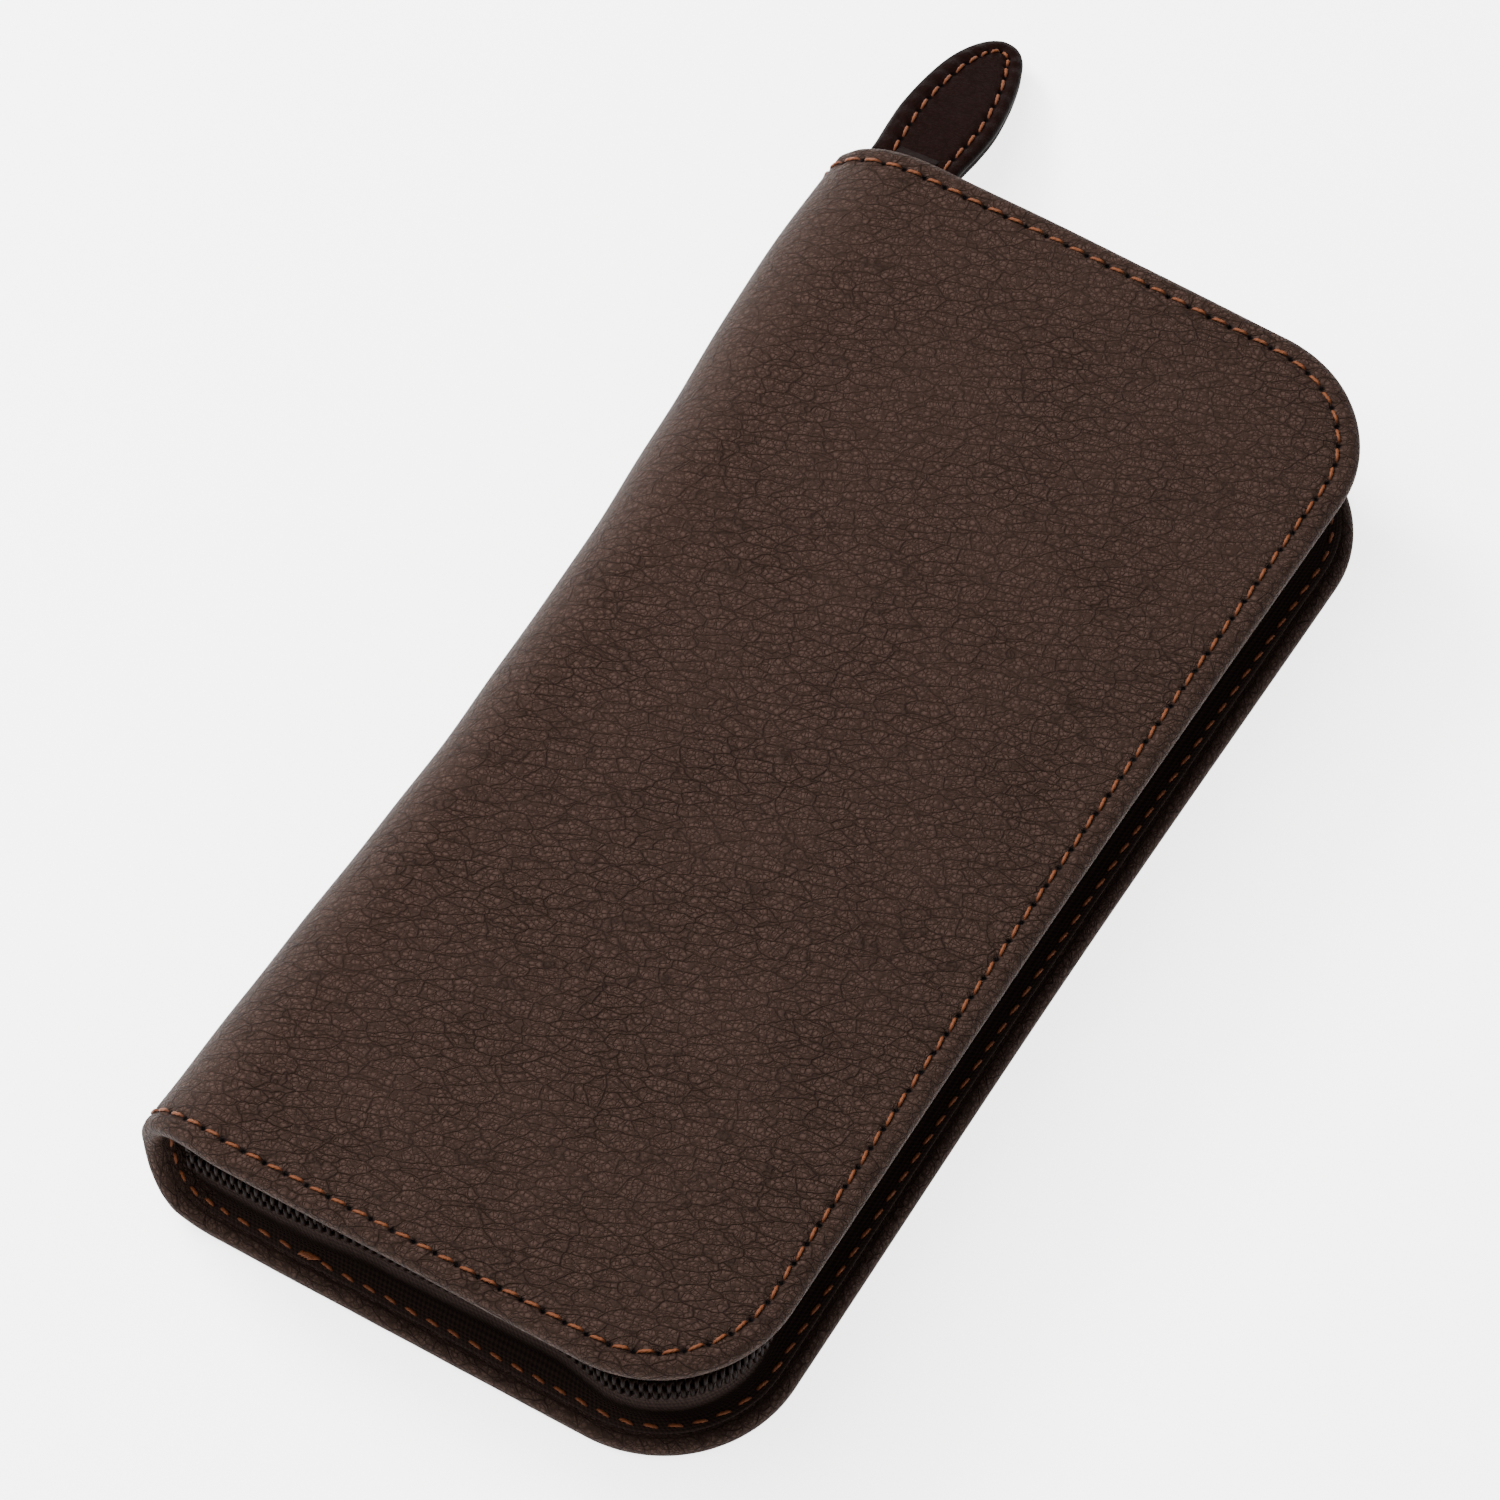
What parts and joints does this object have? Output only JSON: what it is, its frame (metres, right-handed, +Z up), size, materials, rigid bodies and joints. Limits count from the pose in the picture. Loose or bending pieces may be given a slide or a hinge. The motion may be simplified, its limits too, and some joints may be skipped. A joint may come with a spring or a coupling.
{
  "type": "zip-around long wallet",
  "caption": "Long leather wallet that folds at a soft spine and closes with a zip round three sides, with card panels and a zipped coin pouch inside.",
  "frame": {"origin": "centre of the back cover's resting face, lying flat and zipped shut", "axes": "+Z up through the closed wallet, +X from the folded spine to the long zipped side, +Y along the length towards the closed slider"},
  "size_m": [0.0966, 0.2341, 0.0254],
  "materials": {
    "cover_leather": "pebbled, semi-matt, dark brown",
    "pocket_leather": "smooth, dark brown",
    "lining": "woven twill lining, brown",
    "stiffener": "plain bonded board",
    "zip_tape": "woven polyester tape, near-black brown",
    "zip_coil": "nylon monofilament, near-black brown",
    "thread": "twisted polyester thread, rust orange",
    "zip_metal": "antique brass plating, worn"
  },
  "bodies": {
    "back_cover": {"back_leather": "cover_leather", "back_board": "stiffener", "back_lining": "lining", "back_stitching": "thread", "back_zip_tape": "zip_tape", "back_zip_coil": "zip_coil", "back_note_pocket": "pocket_leather", "back_card_panel_1": "pocket_leather", "back_card_panel_2": "pocket_leather", "back_card_panel_3": "pocket_leather", "back_card_panel_4": "pocket_leather", "back_gusset_near": "pocket_leather", "back_gusset_far": "pocket_leather"},
    "front_cover": {"front_leather": "cover_leather", "front_board": "stiffener", "front_lining": "lining", "front_stitching": "thread", "front_zip_tape": "zip_tape", "front_zip_coil": "zip_coil", "front_note_pocket": "pocket_leather", "front_card_panel_1": "pocket_leather", "front_card_panel_2": "pocket_leather", "front_card_panel_3": "pocket_leather", "front_card_panel_4": "pocket_leather", "front_gusset_near": "pocket_leather", "front_gusset_far": "pocket_leather"},
    "spine": {"spine_leather": "cover_leather", "spine_lining": "lining", "coin_pouch_back_wall": "pocket_leather", "coin_pouch_front_wall": "pocket_leather", "coin_pouch_band": "lining", "coin_zip_tapes": "zip_tape", "coin_zip_coils": "zip_coil"},
    "slider": {"slider_body": "zip_metal", "slider_crown": "zip_metal"},
    "pull_link": {"pull_link": "zip_metal"},
    "pull_tab": {"pull_tab_leather": "cover_leather", "pull_tab_stitching": "thread"},
    "coin_slider": {"coin_slider_body": "zip_metal", "coin_slider_crown": "zip_metal"},
    "coin_pull": {"coin_pull": "zip_metal"}
  },
  "joints": [
    {"name": "back_fold", "type": "hinge", "parent": "back_cover", "child": "spine", "pos_m": [-0.04328, 0, 0.00372], "axis": [0, -1, 0], "range_deg": [0, 45], "deforming": ["back_gusset_near", "back_gusset_far", "spine_leather", "spine_lining"]},
    {"name": "front_fold", "type": "hinge", "parent": "spine", "child": "front_cover", "pos_m": [-0.04328, 0, 0.02168], "axis": [0, -1, 0], "range_deg": [0, 45], "deforming": ["front_gusset_near", "front_gusset_far"]},
    {"name": "zip_slide", "type": "slide", "parent": "back_cover", "child": "slider", "axis": [1, 0, 0], "range_m": [0, 0.06]},
    {"name": "pull_swing", "type": "hinge", "parent": "slider", "child": "pull_link", "pos_m": [-0.0402, 0.0966, 0.0127], "axis": [0, 0, 1], "range_deg": [-30, 28]},
    {"name": "tab_flap", "type": "hinge", "parent": "pull_link", "child": "pull_tab", "pos_m": [-0.04057, 0.10194, 0.0127], "axis": [0.9976, 0.0698, 0], "range_deg": [-24, 50]},
    {"name": "coin_zip_slide", "type": "slide", "parent": "spine", "child": "coin_slider", "axis": [0, -1, 0], "range_m": [0, 0.146]},
    {"name": "coin_pull_swing", "type": "hinge", "parent": "coin_slider", "child": "coin_pull", "pos_m": [0.02677, 0.073, 0.0127], "axis": [0, 0, 1], "range_deg": [0, 180]}
  ],
  "couplings": [
    {"joint": "front_fold", "follows": "back_fold", "ratio": 1}
  ]
}
